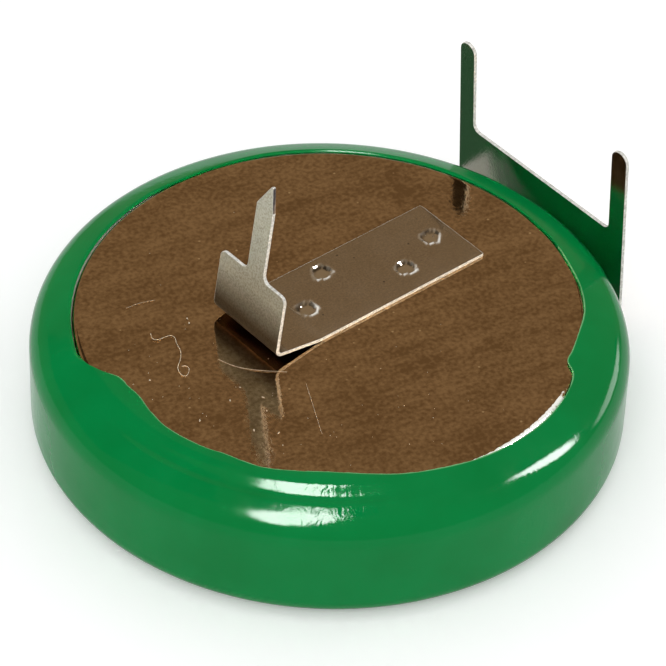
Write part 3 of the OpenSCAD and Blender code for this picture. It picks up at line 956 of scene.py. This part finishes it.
# The cut on one side of the pin's tip is dark: painted shade, as in a hollow along that side.
shaded_tip_cut = plain_finish(
    "shaded_tip_cut", (0.02, 0.015, 0.018), (0.06, 0.05, 0.05), 0.4, 0.5, 9000, 0.006 * mm)
neg.data.materials.append(shaded_tip_cut)
tip_from = max(v.co.z for v in neg.data.vertices) - NEG_TIP_L
for side in neg.data.polygons:
    if side.material_index == 1 and side.normal.y < -0.8 and side.center.z > tip_from:
        side.material_index = 2
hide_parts("negative_tab")
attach(neg, "root")


# The positive tab: a stem welded under the can steps down over the film's lap, bends up
# beside the sleeve and widens into a plate with a round-ended pin at each side.
POS_Y = 1.05 * mm
POS_STEM_W = 5.0 * mm
POS_END_X = 2.0 * mm
POS_STEP_X = 8.87 * mm
POS_STEP_L = 0.5 * mm
POS_STEP_R = 0.2 * mm
POS_BEND_X = 12.8 * mm
POS_BEND_R = 0.3 * mm
POS_LEAN = math.radians(3.2)
POS_PLATE_W = 10.4 * mm
POS_FOOT_H = 0.9 * mm
POS_PLATE_H = 5.45 * mm
POS_PIN_H = 9.95 * mm
POS_PIN_W = 0.9 * mm
POS_PIN_ROUND = 0.44 * mm
POS_WELD_ROWS = (1.4 * mm, 4.8 * mm)
POS_WELD_PITCH = 2.4 * mm
POS_COLOURS = (0.39, 0.355, 0.305), (0.48, 0.445, 0.385)

bend_z = FILM_LAP_Z
lean_top = POS_PIN_H + LINE_SPARE
pos_line = path_through([
    (POS_END_X, 0, 0), (POS_STEP_X - POS_STEP_L, 0, POS_STEP_R), (POS_STEP_X, bend_z, POS_STEP_R),
    (POS_BEND_X, bend_z, POS_BEND_R),
    (POS_BEND_X - lean_top * math.tan(POS_LEAN), bend_z + lean_top, 0)], 8)
pos_run = lengths_of(pos_line)
foot_s, top_s, tip_s = (
    length_to(pos_line, pos_run, bend_z, POS_LEAN, height)
    for height in (POS_FOOT_H, POS_PLATE_H, POS_PIN_H))
half, stem = POS_PLATE_W / 2, POS_STEM_W / 2
inner = half - POS_PIN_W
rounds = []
for side in (-1, 1):
    rounds += [((foot_s, side * half), PLATE_ROUND), ((foot_s, side * stem), PIN_FILLET),
               ((top_s, side * inner), PIN_FILLET), ((tip_s, side * half), POS_PIN_ROUND),
               ((tip_s, side * inner), POS_PIN_ROUND), ((0, side * stem), END_ROUND)]
pos = blank("tab_positive", [
    (0, foot_s, -stem, stem), (foot_s, top_s, -stem, stem),
    (foot_s, top_s, -inner, -stem), (foot_s, top_s, stem, inner),
    (foot_s, top_s, -half, -inner), (foot_s, top_s, inner, half),
    (top_s, tip_s, -half, -inner), (top_s, tip_s, inner, half)], rounds)
cut_across(pos, "X", pos_run[1:-1])
pos_welds = [(row, s * POS_WELD_PITCH) for row in POS_WELD_ROWS for s in (-0.5, 0.5)]
cut_weld_grid(pos, pos_welds, pos_run[1], stem)
fold_strip(pos, pos_line, pos_run, POS_Y, nickel_strip("plate_metal", POS_COLOURS, 0.09, False))
finish_strip(pos, [(POS_END_X + row, POS_Y + across) for row, across in pos_welds], -TAB_T, -1)
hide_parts("positive_tab")
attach(pos, "root")


# Dust from handling lies on the cap: a curled hair, long fine fibres, flakes and specks.
# Each is a loose thread or chip that only rests there.
LINT_TOP = CAP_H + 0.012 * mm
HAIR_R = 0.011 * mm
FIBRE_R = 0.005 * mm
CROSS_FIBRE_R = 0.007 * mm
# Places (x, y) on the cap, in millimetres
HAIR = [
    (-6.73, 3.39), (-6.85, 3.02), (-6.69, 2.90), (-6.38, 2.89), (-6.12, 2.76), (-6.26, 2.25),
    (-6.47, 1.72), (-6.80, 1.36), (-7.09, 1.12), (-7.25, 0.78), (-7.20, 0.52), (-6.93, 0.61),
    (-6.77, 0.94), (-6.93, 1.07),
]
CROSS_FIBRE = [(-5.52, 0.51), (-5.24, -0.24), (-4.76, -0.93), (-3.82, -1.81)]
LONG_FIBRE = [(-3.63, -2.79), (-4.0, -3.5), (-4.33, -4.14), (-5.05, -5.51)]
SCRATCH_FIBRE = [(-6.54, 5.29), (-5.89, 5.19), (-5.29, 4.96)]
FLAKES = [
    (-4.95, 3.25), (-5.06, 2.98), (-5.87, -1.36), (-5.52, -2.39), (-5.9, -3.1),
    (-6.35, -4.4), (-6.67, -5.06), (-7.02, -3.68), (-6.67, -1.72), (-8.35, -1.91), (-8.46, 1.19),
]
# Half lengths, half widths and half height of the flakes
FLAKE_L = (0.04 * mm, 0.09 * mm)
FLAKE_W = (0.015 * mm, 0.035 * mm)
FLAKE_H = 0.012 * mm
SPECKS = 60
SPECK_R = (0.008 * mm, 0.018 * mm)
SPECK_Z = CAP_H + 0.004 * mm
# Most specks lie towards this angle, in radians, and all inside this radius.
SPECKS_TOWARD, SPECKS_WIDE = 3.7, 0.9
SPECKS_REACH = 9.3 * mm
rng = random.Random(23)


def thread(points, radius, wave):
    """A thin round thread through points (x, y) on the cap, lifted here and there by as much
    as wave. Points and wave are in millimetres."""
    line = bpy.data.curves.new("thread", "CURVE")
    line.dimensions = "3D"
    line.bevel_depth = radius
    line.bevel_resolution = 1
    line.resolution_u = 8
    run = line.splines.new("BEZIER")
    run.bezier_points.add(len(points) - 1)
    for knot, (x, y) in zip(run.bezier_points, points):
        knot.co = (x * mm, y * mm, LINT_TOP + rng.uniform(0, wave) * mm)
        knot.handle_left_type = knot.handle_right_type = "AUTO"
    made = bpy.data.objects.new("thread", line)
    bpy.context.scene.collection.objects.link(made)
    return made


threads = [
    thread(HAIR, HAIR_R, 0.05),
    thread(LONG_FIBRE, FIBRE_R, 0.02),
    thread(CROSS_FIBRE, CROSS_FIBRE_R, 0.03),
    thread(SCRATCH_FIBRE, FIBRE_R, 0.01),
]
for x, y in FLAKES:
    bpy.ops.mesh.primitive_ico_sphere_add(subdivisions=2, radius=1, location=(x * mm, y * mm, LINT_TOP))
    flake = bpy.context.object
    flake.scale = (rng.uniform(*FLAKE_L), rng.uniform(*FLAKE_W), FLAKE_H)
    flake.rotation_euler = (0, 0, rng.uniform(0, math.pi))
    threads.append(flake)
for _ in range(SPECKS):
    a = rng.gauss(SPECKS_TOWARD, SPECKS_WIDE)
    r = SPECKS_REACH * rng.random() ** 0.35
    bpy.ops.mesh.primitive_ico_sphere_add(
        subdivisions=1, radius=rng.uniform(*SPECK_R),
        location=(r * math.cos(a), r * math.sin(a), SPECK_Z))
    threads.append(bpy.context.object)
bpy.ops.object.select_all(action="DESELECT")
for made in threads:
    made.select_set(True)
bpy.context.view_layer.objects.active = threads[0]
bpy.ops.object.convert(target="MESH")
bpy.context.view_layer.objects.active = threads[-1]
bpy.ops.object.join()
lint = bpy.context.object
lint.name = "lint"
lint.data.name = "lint"
bpy.ops.object.transform_apply(location=True, rotation=True, scale=True)
bpy.ops.object.shade_smooth()
lint.data.materials.clear()
dust = plain_finish("dust", (0.34, 0.27, 0.18), (0.66, 0.56, 0.42), 0.8, 0, 9000, 0.002 * mm)
lint.data.materials.append(dust)
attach(lint, "root")
